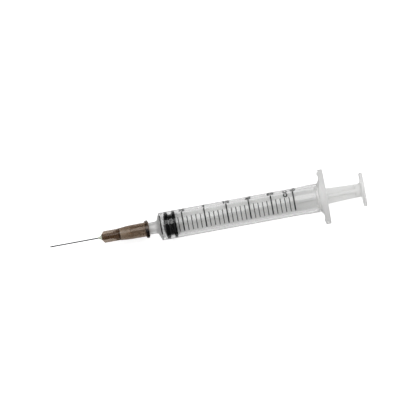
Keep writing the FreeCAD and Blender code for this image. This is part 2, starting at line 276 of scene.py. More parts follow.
class NeedleSettings(bpy.types.PropertyGroup):
    """Sizes of the steel tube and its adhesive."""
    tube: size("Tube radius", 0.225, "Outside of the steel tube")
    tube_bore: size("Tube bore", 0.13, "Inside of the steel tube")
    tube_fit: size("Tube fit", 0.01, "From the hub to the tube")
    slope: angle("Point slope", 12.0, "Slope of the long bevel")
    side_slope: angle("Side slope", 19.0, "Slope of the two short bevels")
    side_roll: angle("Side roll", 38.0, "Turn of each short bevel")
    glue_root: size("Adhesive root", 0.98, "Radius at the hub")
    glue_tip: size("Adhesive tip", 0.305, "Radius at its tip")
    glue_gap: size("Adhesive gap", 0.003, "Keeps the two surfaces apart")
    steel: colour("Steel", "4a4b4e", "Drawn stainless steel")
    adhesive: colour("Adhesive", "dfe5d3", "Pale cured adhesive")


class StageSettings(bpy.types.PropertyGroup):
    """Camera, floor and light."""
    camera: point("Camera", (18.03, 3.58, 2500.0), "From the zero line on the barrel's axis")
    camera_roll: angle("Camera roll", 10.41, "Turn of the picture")
    frame_width: size("Frame width", 151.72, "What the picture spans at the barrel's axis")
    floor: colour("Floor", "e6e6e6", "Pale studio paper")
    floor_reach: size("Floor reach", 12000.0, "From its middle to its sides")
    floor_gap: size("Floor gap", 0.02, "From the syringe down to the paper")
    floor_glow: ratio("Floor glow", 0.58, "What makes the paper white in the picture")
    glow_through: ratio("Glow through", 0.12, "What the paper glows with through the plastic")
    box_power: ratio("Softbox power", 3.0, "Of the large softbox, in watts")
    box_width: size("Softbox width", 750.0, "Along the barrel")
    box_depth: size("Softbox depth", 550.0, "Across the barrel")
    box: point("Softbox", (20.0, 380.0, 680.0), "From the zero line on the barrel's axis")
    fill: ratio("Fill", 0.67, "Light from all round")
    mirrored: ratio("Mirrored", 0.08, "The room as gloss and metal mirror it")


def rounded(corners, steps=6):
    """Points of an open outline through (x, radius) corners. A third number rounds its corner.

    The round is the arc of that radius that is tangent to both sides, kept within half of each.
    """
    points = np.array([corner[:2] for corner in corners], float)
    pieces = [points[:1]]
    for index in range(1, len(corners) - 1):
        corner = points[index]
        if len(corners[index]) == 2:
            pieces.append(corner[None])
            continue
        before = points[index - 1] - corner
        after = points[index + 1] - corner
        sides = np.linalg.norm(before), np.linalg.norm(after)
        before = before / sides[0]
        after = after / sides[1]
        half_angle = math.acos(np.clip(before @ after, -1, 1)) / 2
        reach = min(corners[index][2] / math.tan(half_angle), 0.49 * min(sides))
        middle = (before + after) / np.linalg.norm(before + after)
        centre = corner + middle * reach / math.cos(half_angle)
        start = corner + before * reach - centre
        end = corner + after * reach - centre
        sweep = (math.atan2(end[1], end[0]) - math.atan2(start[1], start[0]) + math.pi) % TURN - math.pi
        turn = sweep * np.linspace(0, 1, steps + 1)
        arc_x = start[0] * np.cos(turn) - start[1] * np.sin(turn)
        arc_radius = start[0] * np.sin(turn) + start[1] * np.cos(turn)
        pieces.append(centre + np.stack([arc_x, arc_radius], 1))
    pieces.append(points[-1:])
    return np.concatenate(pieces)


def shell(x, across, ring=False):
    """Points and faces of a closed skin from a grid whose rows are loops round the X axis.

    A point is (x, y, z) with y + iz given as the complex number across. Neighbouring rows are joined by
    quads. With ring, the last row joins the first, and otherwise a fan closes each end at the mean of its
    row. All faces are turned outwards by the sign of the volume that they enclose.
    """
    x, across = np.broadcast_arrays(x, across)
    rows, columns = x.shape
    points = np.stack([x, across.real, across.imag], -1).reshape(-1, 3)
    index = np.arange(rows * columns).reshape(rows, columns)
    if ring:
        index = np.concatenate([index, index[:1]])
    here = index[:-1]
    there = index[1:]
    quads = np.stack([here, np.roll(here, -1, 1), np.roll(there, -1, 1), there], -1).reshape(-1, 4)
    fans = np.zeros((0, 3), int)
    if not ring:
        first = len(points)
        points = np.concatenate([points, points[index[:1]].mean(1), points[index[-1:]].mean(1)])
        start = np.stack([np.full(columns, first), np.roll(index[0], -1), index[0]], 1)
        end = np.stack([np.full(columns, first + 1), index[-1], np.roll(index[-1], -1)], 1)
        fans = np.concatenate([start, end])
    halves = np.concatenate([quads[:, [0, 1, 2]], quads[:, [0, 2, 3]], fans])
    a, b, c = (points[halves[:, k]] for k in range(3))
    if np.einsum("ij,ij->i", a, np.cross(b, c)).sum() < 0:
        quads = quads[:, ::-1]
        fans = fans[:, ::-1]
    return points, quads.tolist() + fans.tolist()


def add_object(name, data):
    """Object of the scene, with its data."""
    made = bpy.data.objects.new(name, data)
    bpy.context.scene.collection.objects.link(made)
    return made


def add_piece(name, skins, body, material, node=None, sharp=35.0):
    """Smooth shaded piece from skins in millimetres, on its body, in place of the CAD node it stands for.

    Edges above the sharp angle, in degrees, stay sharp. Ink stands for no node.
    """
    points = np.concatenate([skin[0] for skin in skins]) * MM
    faces = []
    first = 0
    for skin_points, skin_faces in skins:
        faces += [[first + corner for corner in face] for face in skin_faces]
        first += len(skin_points)
    mesh = bpy.data.meshes.new(name)
    mesh.from_pydata(points.tolist(), [], faces)
    mesh.shade_smooth()
    mesh.set_sharp_from_angle(angle=math.radians(sharp))
    mesh.update()
    mesh.materials.append(material)
    piece = add_object(name, mesh)
    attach(piece, body)
    if node:
        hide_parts(node)


def around(count):
    """Angles of so many points, evenly round the X axis."""
    return np.arange(count) * TURN / count


def turned(outline, segments=192, ring=False):
    """Skin turned about the X axis from an outline of (x, radius) points."""
    return shell(outline[:, :1], outline[:, 1:] * np.exp(1j * around(segments)), ring)


def rings(outline, turn):
    """Rows of x and radius, at each angle, of an outline of (x, radius) points."""
    return outline.T[:, :, None] + 0 * turn


def radius_at(outline, x):
    """Radius of an outline at x."""
    return np.interp(x, outline[:, 0], outline[:, 1])


def add_node(tree, kind, settings=()):
    """Outputs of a new shader node. A setting is an attribute, an input's value or an output linked to it."""
    node = tree.nodes.new("ShaderNode" + kind)
    for key, value in dict(settings).items():
        if isinstance(value, bpy.types.NodeSocket):
            tree.links.new(value, node.inputs[key])
        elif isinstance(key, str) and hasattr(node, key):
            setattr(node, key, value)
        else:
            node.inputs[key].default_value = value
    return node.outputs


def ramp(tree, source, start, end, low, high):
    """Output that goes evenly from low to high while its source goes from start to end."""
    return add_node(tree, "MapRange", {0: source, 1: start, 2: end, 3: low, 4: high})[0]


def maths(tree, operation, *terms, clamp=False):
    """Output of a maths node on two or three terms, each a number or an output."""
    settings = {"operation": operation, "use_clamp": clamp, **dict(enumerate(terms))}
    return add_node(tree, "Math", settings)[0]


def mix(tree, share, first, second):
    """Shader with a share of the second of two shaders, and the first for the rest."""
    return add_node(tree, "MixShader", {0: share, 1: first, 2: second})[0]


def new_material(name):
    """Empty node material, and its node tree."""
    material = bpy.data.materials.new(name)
    material.use_nodes = True
    material.node_tree.nodes.clear()
    return material, material.node_tree


def one_shader(name, settings):
    """Material of one principled shader."""
    material, tree = new_material(name)
    body = add_node(tree, "BsdfPrincipled", settings)[0]
    add_node(tree, "OutputMaterial", {"Surface": body})
    return material


def milky_body(tree, plastic):
    """Shader of a matt plastic in which light scatters a few millimetres deep."""
    return add_node(tree, "BsdfPrincipled", {
        "Base Color": plastic, "Roughness": 0.55, "IOR": PLASTIC_IOR, "Transmission Weight": 0.35,
        "Subsurface Weight": 1.0, "Subsurface Radius": (1, 1, 1), "Subsurface Scale": 4 * MM,
    })[0]


def clear_body(tree, plastic, roughness):
    """Shader of a see-through plastic."""
    return add_node(tree, "BsdfPrincipled", {
        "Base Color": plastic, "Roughness": roughness, "IOR": PLASTIC_IOR, "Transmission Weight": 1.0,
    })[0]


def see_through(material, surface, tint, share, part=None):
    """Finished see-through plastic. A share of the soft light goes straight through to what is behind it.

    A part with a depth and a density takes that colour on inside as well.
    """
    tree = material.node_tree
    rays = add_node(tree, "LightPath")
    soft = maths(tree, "MAXIMUM", rays["Is Shadow Ray"], rays["Is Diffuse Ray"])
    passed = add_node(tree, "BsdfTransparent", {"Color": tint})[0]
    links = {"Surface": mix(tree, maths(tree, "MULTIPLY", soft, share), surface, passed)}
    if part:
        inside = {"Color": part.depth, "Density": part.density}
        links["Volume"] = add_node(tree, "VolumeAbsorption", inside)[0]
    add_node(tree, "OutputMaterial", links)
    return material


def clear_polypropylene(barrel):
    """Moulded clear polypropylene: a glossy see-through tube, with a frosted neck and a milky flange.

    The tube and the taper that the hub sits on are polished. The wall turns hazy where it is seen at a
    slant: partly the real haze of a longer path through the wall, partly painted shade that greys the
    tube's rims. Light takes on a faint grey in it. Soft light passes through to what lies behind, so that
    the thin wall casts no dark shadow.
    """
    material, tree = new_material("Clear polypropylene, moulded")
    place = add_node(tree, "TexCoord")["Object"]
    along = add_node(tree, "SeparateXYZ", {0: place})["X"]
    # The flange is milky, and the nozzle is frosted as far as the taper that the hub covers.
    flange = ramp(tree, along, 57.2 * MM, 59.2 * MM, 0.0, 1.0)
    neck = ramp(tree, along, 1.6 * MM, -0.8 * MM, 0.0, 0.6)
    seated = ramp(tree, along, -5.2 * MM, -5.8 * MM, 1.0, 0.12)
    # Haze at a slant: partly real scattering along the longer path through the wall, partly painted shade
    # that greys the tube's bright rims.
    slant = add_node(tree, "LayerWeight", {"Blend": 0.5})["Facing"]
    edge = ramp(tree, slant, 0.5, 0.95, 0.0, 0.9)
    frost = maths(tree, "MAXIMUM", flange, maths(tree, "MINIMUM", neck, seated))
    frost = maths(tree, "MAXIMUM", frost, edge)
    surface = mix(tree, frost, clear_body(tree, barrel.plastic, 0.1), milky_body(tree, barrel.haze))
    return see_through(material, surface, WHITE, 0.88, barrel)


def milky_polypropylene(plastic):
    """Moulded natural polypropylene: a matt milky body that glows with the light round it."""
    material, tree = new_material("Natural polypropylene, moulded")
    return see_through(material, milky_body(tree, plastic), plastic, 0.9)


def brown_polypropylene(hub):
    """Moulded brown polypropylene: smoky and see-through, light where it is thin and dark where it is thick.

    The colour comes from the absorption in its body, and the thick ears are darker at the skin too. A
    share of brown pigment scatters light, more on the fins and hardly any on the ears; the extra share at a
    slant is painted shade that darkens the hub's rims.
    """
    material, tree = new_material("Brown polypropylene, moulded")
    place = add_node(tree, "TexCoord")["Object"]
    along = add_node(tree, "SeparateXYZ", {0: place})["X"]
    across = add_node(tree, "VectorMath", {"operation": "MULTIPLY", 0: place, 1: (0, 1, 1)})[0]
    radius = add_node(tree, "VectorMath", {"operation": "LENGTH", 0: across})["Value"]
    ears = ramp(tree, radius, 2.9 * MM, 3.2 * MM, 0.0, 1.0)
    tint = add_node(tree, "MixRGB", {0: ears, 1: hub.plastic, 2: hub.thick})[0]
    matt = add_node(tree, "BsdfDiffuse", {"Color": hub.edge})[0]
    slant = add_node(tree, "LayerWeight", {"Blend": 0.5})["Facing"]
    # Pigment at the skin, more of it on the fins, less on the ears; its rise at a slant is painted rim shade.
    # The rise with slant darkens the hub's rims: painted shade.
    skin = ramp(tree, slant, 0.3, 0.95, 0.1, 0.4)
    fins = ramp(tree, along, -15.2 * MM, -16.0 * MM, 0.0, 0.3)
    share = maths(tree, "MULTIPLY_ADD", ears, -0.3, maths(tree, "MAXIMUM", skin, fins), clamp=True)
    surface = mix(tree, share, clear_body(tree, tint, 0.2), matt)
    return see_through(material, surface, hub.depth, 0.7, hub)


def butyl_rubber(rubber):
    """Moulded black butyl rubber, oiled with silicone: nearly black with a broad dull sheen."""
    return one_shader("Butyl rubber, moulded", {
        "Base Color": rubber, "Roughness": 0.45, "IOR": 1.52, "Specular IOR Level": 0.05,
    })


def drawn_steel(steel):
    """Drawn and polished stainless steel: a grey metal that mirrors the room with a slight blur."""
    return one_shader("Stainless steel, drawn", {"Base Color": steel, "Metallic": 1.0, "Roughness": 0.22})


def cured_adhesive(adhesive):
    """Cured epoxy: a pale greenish bead with a wet gloss."""
    return one_shader("Epoxy, cured", {
        "Base Color": adhesive, "Roughness": 0.18, "IOR": 1.54, "Transmission Weight": 0.3,
    })


def printing_ink(ink):
    """Pad printed ink: a thin flat black film."""
    return one_shader("Pad printing ink", {"Base Color": ink, "Roughness": 0.5})


def nozzle_radius(barrel, x):
    """Radius of the nozzle's taper at x."""
    return barrel.nozzle + (x - BARREL_LOW[0]) * barrel.taper / 2


def flange_reach(turn, margin, barrel):
    """Distance from the axis to the flange's oval at an angle, the oval drawn in by a margin.

    The oval has an arc at each end of Y and two long side arcs tangent to both. A ray from the axis meets
    the end arc below the angle of the join, and the side arc above it.
    """
    along = np.abs(np.cos(turn))
    across = np.abs(np.sin(turn))
    half_depth = BARREL_HIGH[2]
    end_centre = BARREL_HIGH[1] - barrel.flange_end
    gain = 2 * (half_depth - barrel.flange_end)
    side = (end_centre ** 2 + half_depth ** 2 - barrel.flange_end ** 2) / gain
    drop = side - half_depth
    side = side - margin
    end = barrel.flange_end - margin
    reach = side / (side - end)
    join = math.atan2(drop * (reach - 1), end_centre * reach)
    at_end = end_centre * along + np.sqrt(np.maximum(end ** 2 - (end_centre * across) ** 2, 0))
    at_side = np.sqrt(side ** 2 - (drop * along) ** 2) - drop * across
    return np.where(np.arctan2(across, along) < join, at_end, at_side)


def flange_rows(turn, barrel):
    """Rows of x and radius from the flange's root over its front face, ridges and rim to its back face.

    The root is a hollow slope, x = front - length * (1 - u) ** 1.5 and radius = mouth + height * u, kept
    inside the oval. The front face carries two ridges, each the top of a cylinder along Z at a distance
    from the axis, which fade out at the rim. The rim's edges are quarter rounds.
    """
    back = BARREL_HIGH[0]
    front = back - barrel.flange
    mouth = barrel.bore + barrel.mouth_wall
    edge = barrel.flange_edge
    inner = flange_reach(turn, edge, barrel)
    ledge = 0.12
    u = np.linspace(0, 1, 14)[:, None]
    foot = np.minimum(mouth + barrel.root_height, inner - ledge)
    root_radius = np.minimum(mouth + barrel.root_height * u, foot)
    root_x = front - barrel.root_length * (1 - u) ** 1.5 + 0 * turn
    u = np.linspace(0, 1, 52)[1:, None]
    face_radius = foot + (inner - foot) * u
    offset = np.abs(face_radius * np.cos(turn)) - barrel.ridge_offset
    arch = np.sqrt(np.maximum(barrel.ridge_radius ** 2 - offset ** 2, 0))
    ridge = np.maximum(arch - (barrel.ridge_radius - barrel.ridge_height), 0)
    fade = np.clip((inner - face_radius) / (1.5 * edge), 0, 1)
    face_x = front - ridge * fade * fade * (3 - 2 * fade)
    quarter = np.linspace(0, math.pi / 2, 7)[1:]
    rim_radius = np.stack([flange_reach(turn, edge * (1 - math.sin(a)), barrel) for a in quarter])
    rim_x = front + edge * (1 - np.cos(quarter))[:, None] + 0 * turn
    back_x = front + back - rim_x[::-1]
    lip = barrel.bore + barrel.lead_in
    u = np.linspace(0, 1, 10)[1:-1, None]
    plate_radius = inner + (lip + ledge - inner) * u
    x = [root_x, face_x, rim_x, back_x, back + 0 * inner[None], back + 0 * plate_radius]
    radius = [root_radius, face_radius, rim_radius, rim_radius[::-1], inner[None], plate_radius]
    return np.stack([np.concatenate(x), np.concatenate(radius)])


def barrel_skin(barrel):
    """Nozzle, shoulder, tube, flare and flange outside, then bead, bore, end cone and nozzle bore inside."""
    turn = around(400)
    tip = BARREL_LOW[0]
    back = BARREL_HIGH[0]
    tube = barrel.bore + barrel.wall
    mouth = barrel.bore + barrel.mouth_wall
    shoulder = barrel.bore_front - barrel.end_wall
    root = shoulder - barrel.shoulder
    neck = root - barrel.neck_chamfer
    flare_end = back - barrel.flange - barrel.flare_land
    outside = rounded([
        (tip + 1, barrel.nozzle_bore),
        (tip, barrel.nozzle_bore, 0.08),
        (tip, barrel.nozzle, 0.2),
        (neck, nozzle_radius(barrel, neck), 0.5),
        (root, nozzle_radius(barrel, root) + barrel.neck_spread, 0.25),
        (shoulder, tube, 0.45),
        (flare_end - barrel.flare, tube, 3.0),
        (flare_end, mouth, 3.0),
        (back - barrel.flange - barrel.root_length - 0.3, mouth),
    ])
    bead = back - barrel.bead_inset
    t = np.linspace(-1, 1, 13)[:, None]
    bead_arch = barrel.bore - barrel.bead_height * (1 + np.cos(math.pi * t)) / 2
    mouth_cone = rounded([
        (back, barrel.bore + barrel.lead_in + 0.05),
        (back, barrel.bore + barrel.lead_in, 0.05),
        (back - barrel.lead_in, barrel.bore, 0.2),
        (bead + barrel.bead_length / 2 + 0.05, barrel.bore),
    ])
    end_cone = rounded([
        (bead - barrel.bead_length / 2 - 0.05, barrel.bore),
        (barrel.bore_front, barrel.bore, 0.35),
        (barrel.bore_front - barrel.bore_cone, barrel.nozzle_bore, 0.3),
        (tip + 3, barrel.nozzle_bore),
    ])
    bead_rows = np.concatenate([bead - t * barrel.bead_length / 2, bead_arch], 1)
    inside = np.concatenate([mouth_cone, bead_rows, end_cone])
    rows = [rings(outside, turn), flange_rows(turn, barrel), rings(inside, turn)]
    x, radius = np.concatenate(rows, 1)
    return shell(x, radius * np.exp(1j * turn), ring=True)


def gasket_outline(gasket, rod, bore):
    """Nose, two ribs pressed flat on the bore and the groove between them, then the rod's socket inside."""
    front = GASKET_HIGH[0] - gasket.front_rib - gasket.groove - gasket.rear_rib
    rear = GASKET_HIGH[0]
    edge = bore + gasket.squeeze
    waist = GASKET_HIGH[2] - gasket.crown - gasket.groove_depth
    groove = front + gasket.front_rib
    head_front = ROD_LOW[0] - gasket.clearance
    head_rear = ROD_LOW[0] + rod.head_length + gasket.clearance
    return rounded([
        (GASKET_LOW[0], 0.3),
        (GASKET_LOW[0], gasket.nose, 0.15),
        (front, edge, 0.12),
        (groove, edge, 0.1),
        (groove + gasket.groove_slope, waist, 0.15),
        (groove + gasket.groove - gasket.groove_slope, waist, 0.15),
        (groove + gasket.groove, edge, 0.1),
        (rear, edge, 0.08),
        (rear, rod.stem + gasket.clearance, 0.06),
        (head_rear, rod.stem + gasket.clearance, 0.06),
        (head_rear, rod.head + gasket.clearance, 0.1),
        (head_front + rod.head_length / 2, rod.head + gasket.clearance, 0.2),
        (head_front, rod.nose + gasket.clearance, 0.2),
        (head_front, 0.3),
    ])


def cross_loop(half_width, half_web, edge, root):
    """Loop round a cross of two webs, as complex numbers: flat ends, rounded edges and rounded roots.

    Half of a quarter runs from the middle of a web's end, round its edge and along its side. The other
    half is its mirror image in the diagonal, with the root's arc between them, and the quarter is then
    turned three times.
    """
    flat = half_width + 1j * (half_web - edge) * np.linspace(0, 1, 5)[:-1]
    quarter = np.exp(1j * np.linspace(0, math.pi / 2, 6))
    corner = half_width - edge + 1j * (half_web - edge) + edge * quarter
    side_end = half_web + root
    side = half_width - edge + (side_end - half_width + edge) * np.linspace(0, 1, 13)[1:-1] + 1j * half_web
    half = np.concatenate([flat, corner, side])
    bend = (1 + 1j) * side_end - 1j * root * np.exp(-1j * np.linspace(0, math.pi / 2, 7))
    mirror = (1j * half.conj())[:0:-1]
    one = np.concatenate([half, bend, mirror])
    return np.concatenate([one, 1j * one, -one, -1j * one])


def rod_skin(rod):
    """Snap head, disc, cross, neck and thumb rest, as one skin from the head's front to the dish.

    The cross's half width is even inside the barrel, then follows the parabola through its start, its
    waist and the neck. Round rows have their points at the same angles as the cross's loop, so that each
    point of a round row lies straight outwards from a point of the cross.
    """
    thumb_rear = ROD_HIGH[0]
    thumb_front = thumb_rear - rod.thumb
    thumb_radius = ROD_HIGH[2]
    neck = thumb_front - rod.neck_length
    disc_front = GASKET_HIGH[0] + rod.disc_gap
    disc_rear = disc_front + rod.disc_thickness
    head_rear = ROD_LOW[0] + rod.head_length
    half_web = rod.web / 2
    head = rounded([
        (ROD_LOW[0], 0.4),
        (ROD_LOW[0], rod.nose, 0.25),
        (ROD_LOW[0] + rod.head_length / 2, rod.head, 0.3),
        (head_rear, rod.head, 0.15),
        (head_rear, rod.stem, 0.12),
        (disc_front, rod.stem, 0.08),
        (disc_front, rod.disc, 0.2),
        (disc_rear, rod.disc, 0.2),
        (disc_rear, rod.half_width + 0.3),
    ])
    quarter = np.linspace(0, math.pi / 2, 7)
    swell = rod.web_root * (1 - np.sin(quarter))
    run = rod.web_root * (1 - np.cos(quarter))
    taper_x = np.linspace(neck - rod.taper_length, neck - rod.web_root, 24)
    fit_x = (neck - rod.taper_length, neck - rod.waist_length, neck)
    curve = np.polyfit(fit_x, (rod.half_width, rod.waist, rod.neck), 2)
    straight_x = np.linspace(disc_rear + rod.web_root, neck - rod.taper_length, 12)[1:-1]
    cross_x = np.concatenate([disc_rear + run, straight_x, taper_x, (neck - run)[::-1][1:]])
    widths = np.where(cross_x > neck - rod.taper_length, np.polyval(curve, cross_x), rod.half_width)
    webs = np.full(len(cross_x), half_web)
    webs[:7] += swell
    webs[-6:] += swell[::-1][1:]
    loops = [cross_loop(width, web, rod.web_edge, rod.web_root) for width, web in zip(widths, webs)]
    cross = np.stack(loops)
    beyond = np.maximum(np.abs(cross) / rod.neck, 1)
    beyond[cross_x < neck - rod.web_root] = 1
    cross = cross / beyond
    first_spokes = loops[0] / np.abs(loops[0])
    last_spokes = loops[-1] / np.abs(loops[-1])
    tail = rounded([
        (neck, rod.neck - 0.02),
        (neck + 0.05, rod.neck),
        (thumb_front, rod.neck, rod.root_round),
        (thumb_front, thumb_radius, rod.thumb_round),
        (thumb_rear, thumb_radius, rod.thumb_round),
        (thumb_rear, rod.dish + rod.dish_depth, 0.3),
        (thumb_rear - rod.dish_depth, rod.dish - 0.1, 0.3),
        (thumb_rear - rod.dish_depth, 0.4),
    ], steps=8)
    x = np.concatenate([head[:, 0], cross_x, tail[:, 0]])[:, None]
    return shell(x, np.concatenate([head[:, 1:] * first_spokes, cross, tail[:, 1:] * last_spokes]))


def blend_max(first, second, sharpness=18.0):
    """The larger of two radii, with a small fillet where they are alike: a high power mean."""
    scale = np.maximum(first, second)
    return scale * ((first / scale) ** sharpness + (second / scale) ** sharpness) ** (1 / sharpness)


def fin_reach(turn, hub, height):
    """Radius over four fins: a rounded box, |cos / height| ** 10 + |sin / half thickness| ** 10 = 1."""
    local = (turn - hub.roll) % (TURN / 4) - TURN / 8
    box = (np.cos(local) / height) ** 10 + np.abs(np.sin(local) / (hub.fin_thickness / 2)) ** 10
    return box ** -0.1


def ear_reach(turn, hub, trim):
    """Radius over the two ears: a strip as wide as an ear inside a circle, drawn in by a trim at its edge."""
    local = turn - hub.roll
    strip = np.abs(np.sin(local)) / (hub.ear_width / 2 - trim / 2)
    return (strip ** 14 + (1 / (hub.ear - trim)) ** 14) ** (-1 / 14)


def hub_skin(hub, needle, barrel):
    """Glue well, front edge, finned core, cone, body and ears outside, then the socket inside.

    A row's radius is the largest of the turned body, the fins and the ears at that place along X.
    """
    turn = around(576)
    front = HUB_LOW[0]
    rear = HUB_HIGH[0]
    shoulder = front + hub.shoulder_setback
    middle = front + hub.middle_setback
    floor = shoulder + hub.floor_setback
    hole = needle.tube + needle.tube_fit
    fin_end = front + hub.fin_length
    edge = 0.1
    well = rounded([
        (front + hub.well_depth + 1, hole),
        (front + hub.well_depth, hole),
        (front + hub.well_depth, hub.well),
        (front, hub.well, 0.06),
        (front, hub.core - edge),
    ])
    body = rounded([
        (front, hub.core - edge),
        (front, hub.core, edge),
        (shoulder - hub.cone, hub.core, 0.5),
        (shoulder, hub.shoulder, 0.4),
        (middle, hub.middle, 3.0),
        (rear, hub.rear),
    ], steps=8)
    fin = rounded([(front, hub.core - edge), (front + hub.fin_bevel, hub.fin, 0.5), (fin_end, hub.fin)])
    fin_x = np.concatenate([
        front + hub.fin_bevel * 1.5 * np.linspace(0.02, 1, 24) ** 1.3,
        np.linspace(front + hub.fin_bevel * 1.6, fin_end - 0.05, 22),
    ])
    fin_height = radius_at(fin, fin_x)[:, None]
    fin_rows = blend_max(radius_at(body, fin_x)[:, None], fin_reach(turn, hub, fin_height))
    end_row = blend_max(radius_at(body, fin_end), fin_reach(turn, hub, hub.fin - 0.05))
    ear_rear = rear - hub.ear_inset
    ear_front = ear_rear - hub.ear_thickness
    body_x = np.concatenate([
        np.linspace(fin_end + 0.012, shoulder + 0.6, 26),
        np.linspace(shoulder + 1.0, ear_front, 14),
    ])
    body_rows = radius_at(body, body_x)[:, None] + 0 * turn
    quarter = np.linspace(0, math.pi / 2, 7)
    trim = hub.ear_edge * (1 - np.sin(quarter))[:, None]
    ear_x = ear_front + hub.ear_edge * (1 - np.cos(quarter))
    ear_rows = blend_max(hub.ring - trim / 3, ear_reach(turn, hub, trim), 26.0)
    back = rounded([
        (ear_rear, radius_at(body, ear_rear)),
        (rear, hub.rear, 0.1),
        (rear, nozzle_radius(barrel, rear) + hub.luer_gap, 0.08),
        (floor, nozzle_radius(barrel, floor) + hub.luer_gap, 0.2),
        (floor - hub.floor_cone, hole, 0.1),
        (front + hub.well_depth + 1.2, hole),
    ])
    x = np.concatenate([
        well[:, 0], fin_x, [fin_end], body_x, ear_x, ear_front + ear_rear - ear_x[::-1], back[:, 0],
    ])
    radius = np.concatenate([
        well[:, 1:] + 0 * turn, fin_rows, end_row[None], body_rows, ear_rows, ear_rows[::-1],
        back[:, 1:] + 0 * turn,
    ])
    return shell(x[:, None], radius * np.exp(1j * turn), ring=True)


def glue_outline(needle, hub):
    """Closed outline of the adhesive: it fills the well, and its hollow cone creeps out along the tube.

    The cone's radius is tip + (root - tip) * u ** 1.4, with u from 0 at its tip to 1 at the hub.
    """
    inner = needle.tube + needle.glue_gap
    outer = hub.well - needle.glue_gap
    front = HUB_LOW[0] - needle.glue_gap
    u = np.linspace(1, 0, 24)
    x = GLUE_LOW[0] + (front - GLUE_LOW[0]) * u
    radius = needle.glue_tip + (needle.glue_root - needle.glue_tip) * u ** 1.4
    cone = np.stack([x, radius], 1)
    back = GLUE_HIGH[0]
    ends = [[(back, inner), (back, outer), (front, outer)], cone, [(GLUE_LOW[0], inner)]]
    return np.concatenate(ends)


def needle_skin(needle):
    """Steel tube whose front follows a lancet point: one long bevel and two short ones rolled to its sides.

    A line of the tube at (y, z) starts at tip + max(rise / tan(slope)) over the three bevels, where the
    rise is the height above the lowest line of the tube, measured square to each bevel's roll.
    """
    turn = around(96)
    spokes = np.exp(1j * turn)
    side = needle.side_slope
    bevels = ((needle.slope, 0.0), (side, needle.side_roll), (side, -needle.side_roll))
    ring_radius = np.linspace(needle.tube_bore, needle.tube, 5)[:, None]
    face = ring_radius * spokes
    height = face.imag + needle.tube
    starts = [
        (height * math.cos(roll) - face.real * math.sin(roll)) / math.tan(slope)
        for slope, roll in bevels
    ]
    point_x = NEEDLE_LOW[0] + np.maximum.reduce(starts)
    end_x = NEEDLE_HIGH[0]
    stops = np.linspace(0, 1, 6)[1:, None]
    outer_x = point_x[-1] + (end_x - point_x[-1]) * stops
    inner_x = point_x[0] + (end_x - point_x[0]) * stops[::-1]
    x = np.concatenate([point_x, outer_x, inner_x])
    radius = np.concatenate([ring_radius, needle.tube + 0 * stops, needle.tube_bore + 0 * stops])
    return shell(x, radius * spokes, ring=True)


def ink_stroke(path, width, barrel, scale):
    """Skin of one ink stroke: a thin box carried along a path on the barrel's unrolled surface.

    The path is complex, with x as its real part and the arc length round the barrel from its top line as
    its imaginary part. Half the width is laid off to each side of the path, square to it.
    """
    along = np.gradient(path)
    side = 1j * along / np.abs(along) * width / 2
    tube = barrel.bore + barrel.wall
    low = tube + scale.film_gap
    high = low + scale.film
    spread = np.stack([path + side, path - side, path - side, path + side], 1)
    radius = np.array([low, low, high, high])
    turn = spread.imag / tube
    return shell(spread.real, radius * (np.sin(turn) + 1j * np.cos(turn)))


def arc_path(centre, across, up, start, end, count=15):
    """Points of an elliptic arc from one angle to another, in degrees."""
    turn = np.radians(np.linspace(start, end, count))
    return centre + across * np.cos(turn) + 1j * up * np.sin(turn)


def line_path(start, end, count=6):
    """Points of a straight line."""
    return start + (end - start) * np.linspace(0, 1, count)


def digit_paths(digit):
    """Strokes of a digit in a box one wide and one high, as lists of complex paths."""
    if digit == "1":
        return [line_path(0.55 + 0.0j, 0.55 + 1.0j), line_path(0.22 + 0.72j, 0.55 + 0.97j)]
    if digit == "2":
        bowl = arc_path(0.5 + 0.7j, 0.4, 0.28, 165, -38)
        return [np.concatenate([bowl, line_path(bowl[-1], 0.1 + 0.02j)[1:]]), line_path(0.02, 0.96)]
    upper = arc_path(0.48 + 0.74j, 0.36, 0.24, 155, -90)
    lower = arc_path(0.48 + 0.26j, 0.42, 0.26, 90, -155)
    return [np.concatenate([upper, lower[1:]])]


def numeral(text, place, scale, barrel):
    """Strokes of a numeral, as (path, width) pairs. A trailing h is a half: a small 1 over a small 2."""
    foot = 1j * scale.numeral_foot * (barrel.bore + barrel.wall)
    height = scale.numeral_height
    width = scale.numeral_width
    whole = text.rstrip("h")
    half = text != whole
    full = 0.42 * width if half and whole else width
    grow = 1.0 if whole else scale.lone_half
    small = grow * width
    span = full * bool(whole) + 0.72 * small * half
    left = -span / 2
    thin = scale.thin_stroke * math.sqrt(grow)
    inset = 0.1 * full * half
    parts = [(whole, full - 2 * inset, height, left + inset, 0.0, scale.stroke)] if whole else []
    if half:
        left = span / 2 - 0.68 * small
        parts.append(("1", 0.3 * small, 0.46 * height, left, 0.54 * height, thin))
        parts.append(("2", 0.36 * small, 0.46 * height, left + 0.34 * small, 0.0, thin))
    strokes = []
    for digit, across, up, start, lift, stroke in parts:
        for path in digit_paths(digit):
            spot = place + start + across * path.real + 1j * (lift + up * path.imag) + foot
            strokes.append((spot, stroke))
    if half:
        slash = line_path(left + 0.05 * small, left + 0.66 * small + 1j * height)
        strokes.append((place + slash + foot, thin))
    return strokes


